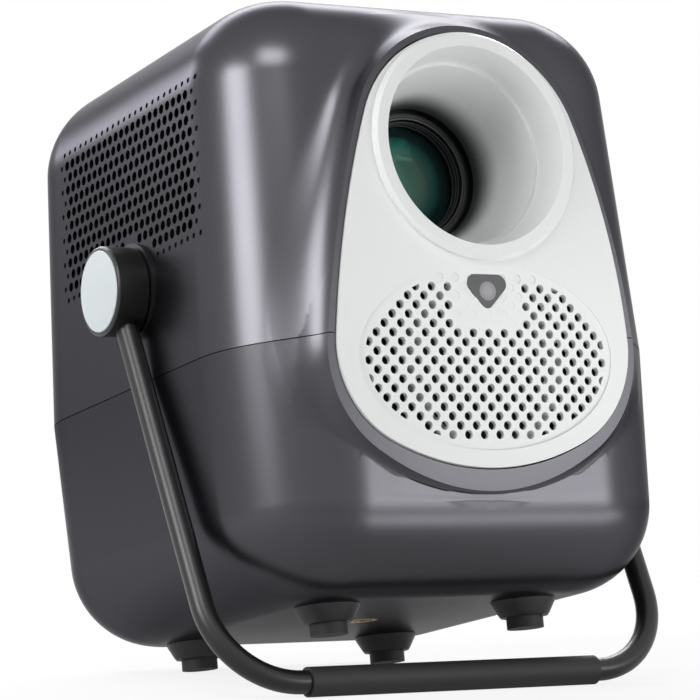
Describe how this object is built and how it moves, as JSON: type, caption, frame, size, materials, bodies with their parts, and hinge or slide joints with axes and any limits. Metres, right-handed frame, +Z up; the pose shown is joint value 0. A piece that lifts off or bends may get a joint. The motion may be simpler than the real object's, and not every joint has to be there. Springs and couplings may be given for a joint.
{
  "type": "portable projector with disc tray",
  "caption": "Rounded box projector with a teardrop speaker and lens face, side vents, a swinging stand bail and a disc tray in its back.",
  "frame": {"origin": "on the floor under the middle of the standing projector", "axes": "+Z up; the lens looks along -Y and 10.7 degrees upwards; +X is to the right seen from behind the lens's target, that is from the front"},
  "size_m": [0.1832, 0.1958, 0.2211],
  "materials": {
    "gunmetal_shell": "satin anodised gunmetal",
    "white_face": "satin white moulding",
    "smoke_window": "smoked grey, glossy",
    "camera_block": "black camera block",
    "black_barrel": "black anodised, fine rings",
    "coated_glass": "green-coated optical glass",
    "clear_glass": "clear",
    "black_satin": "satin black",
    "black_rubber": "matt black rubber",
    "pale_cap": "pale grey satin",
    "hub_plastic": "satin black",
    "steel": "plain steel",
    "brass": "plain brass",
    "foot_plastic": "dark grey plastic",
    "engine_plastic": "black glass-filled plastic",
    "sink_aluminium": "bare aluminium",
    "green_board": "green circuit board",
    "panel_glass": "display panel",
    "speaker_paper": "black cone",
    "magnet_grey": "ferrite magnet",
    "tray_black": "black tray",
    "gear_plastic": "off-white acetal",
    "socket_metal": "plated socket shell"
  },
  "bodies": {
    "projector": {"upper_shell": "gunmetal_shell", "lower_shell": "gunmetal_shell", "front_bezel": "white_face", "sensor_window": "smoke_window", "sensor_module": "camera_block", "lens_housing": "black_barrel", "focus_motor": "steel", "engine_housing": "engine_plastic", "lcd_panel": "panel_glass", "fresnel_lenses": "clear_glass", "condenser_lens": "clear_glass", "led_board": "sink_aluminium", "heat_sink": "sink_aluminium", "fan_frame": "engine_plastic", "mid_frame": "engine_plastic", "case_screws": "steel", "main_board": "green_board", "power_board": "green_board", "io_panel": "tray_black", "hdmi_socket": "socket_metal", "usb_sockets": "socket_metal", "audio_socket": "tray_black", "power_inlet": "tray_black", "ir_window": "smoke_window", "speaker_basket": "steel", "speaker_cone": "speaker_paper", "speaker_magnet": "magnet_grey", "pivot_washers": "hub_plastic", "pivot_bolts": "steel", "pivot_brackets": "steel", "foot_bases": "foot_plastic", "foot_pads": "black_rubber", "tripod_insert": "brass", "drive_chassis": "sink_aluminium", "drive_cover": "sink_aluminium", "drive_board": "green_board", "key_board": "green_board"},
    "bail": {"bail_tube": "black_satin", "bail_grip": "black_rubber", "pivot_hubs": "hub_plastic", "pivot_caps": "pale_cap"},
    "tray": {"disc_tray": "tray_black", "tray_front": "gunmetal_shell", "spindle_motor": "steel", "guide_rods": "steel", "sled_motor": "steel"},
    "rails": {"tray_rails": "steel"},
    "eject_key": {"eject_button": "pale_cap"},
    "disc_table": {"turntable": "tray_black"},
    "sled": {"pickup_sled": "tray_black"},
    "sled_screw": {"lead_screw": "brass"},
    "fan": {"fan_rotor": "engine_plastic"},
    "lens": {"lens_barrel": "black_barrel", "retaining_ring": "black_barrel", "front_lens": "coated_glass", "rear_lens": "clear_glass"},
    "focus_gear": {"focus_ring": "gear_plastic"},
    "focus_drive": {"focus_pinion": "brass"},
    "power_key": {"power_button": "pale_cap"},
    "play_key": {"play_button": "pale_cap"}
  },
  "joints": [
    {"name": "bail_swing", "type": "hinge", "parent": "projector", "child": "bail", "pos_m": [0, -0.00263, 0.12758], "axis": [-1, 0, 0], "range_deg": [0, 210]},
    {"name": "tray_slide", "type": "slide", "parent": "projector", "child": "tray", "axis": [0, 0.9826, -0.1857], "range_m": [0, 0.138]},
    {"name": "rail_slide", "type": "slide", "parent": "projector", "child": "rails", "axis": [0, 0.9826, -0.1857], "range_m": [0, 0.069]},
    {"name": "eject_press", "type": "slide", "parent": "tray", "child": "eject_key", "axis": [0, -0.9826, 0.1857], "range_m": [0, 0.0012], "stiffness_N_per_m": 400, "springref_m": -0.002},
    {"name": "disc_spin", "type": "hinge", "parent": "tray", "child": "disc_table", "pos_m": [0, 0.01946, 0.19058], "axis": [0, 0.1857, 0.9826], "continuous": true},
    {"name": "sled_slide", "type": "slide", "parent": "tray", "child": "sled", "axis": [0, -0.9826, 0.1857], "range_m": [0, 0.031]},
    {"name": "sled_screw_turn", "type": "hinge", "parent": "tray", "child": "sled_screw", "pos_m": [0.0155, -0.01954, 0.19428], "axis": [0, 0.9826, -0.1857], "range_deg": [0, 3730]},
    {"name": "fan_spin", "type": "hinge", "parent": "projector", "child": "fan", "pos_m": [-0.065, 0.02002, 0.15587], "axis": [-1, 0, 0], "continuous": true},
    {"name": "focus_turn", "type": "hinge", "parent": "projector", "child": "focus_gear", "pos_m": [0, -0.02967, 0.1622], "axis": [0, 0.9826, -0.1857], "range_deg": [-40, 40]},
    {"name": "focus_pinion_turn", "type": "hinge", "parent": "projector", "child": "focus_drive", "pos_m": [0.0337, -0.02967, 0.1622], "axis": [0, 0.9826, -0.1857], "range_deg": [-240, 240]},
    {"name": "lens_focus", "type": "slide", "parent": "projector", "child": "lens", "axis": [0, -0.9826, 0.1857], "range_m": [-0.00118, 0.00118]},
    {"name": "power_press", "type": "slide", "parent": "projector", "child": "power_key", "axis": [0, -0.1857, -0.9826], "range_m": [0, 0.0008], "stiffness_N_per_m": 500, "springref_m": -0.002},
    {"name": "play_press", "type": "slide", "parent": "projector", "child": "play_key", "axis": [0, -0.1857, -0.9826], "range_m": [0, 0.0008], "stiffness_N_per_m": 500, "springref_m": -0.002}
  ],
  "couplings": [
    {"joint": "rail_slide", "follows": "tray_slide", "ratio": 0.5},
    {"joint": "sled_screw_turn", "follows": "sled_slide", "rad_per_m": 2094.4},
    {"joint": "focus_turn", "follows": "lens_focus", "rad_per_m": 591.6},
    {"joint": "focus_pinion_turn", "follows": "lens_focus", "rad_per_m": -3549.6}
  ]
}
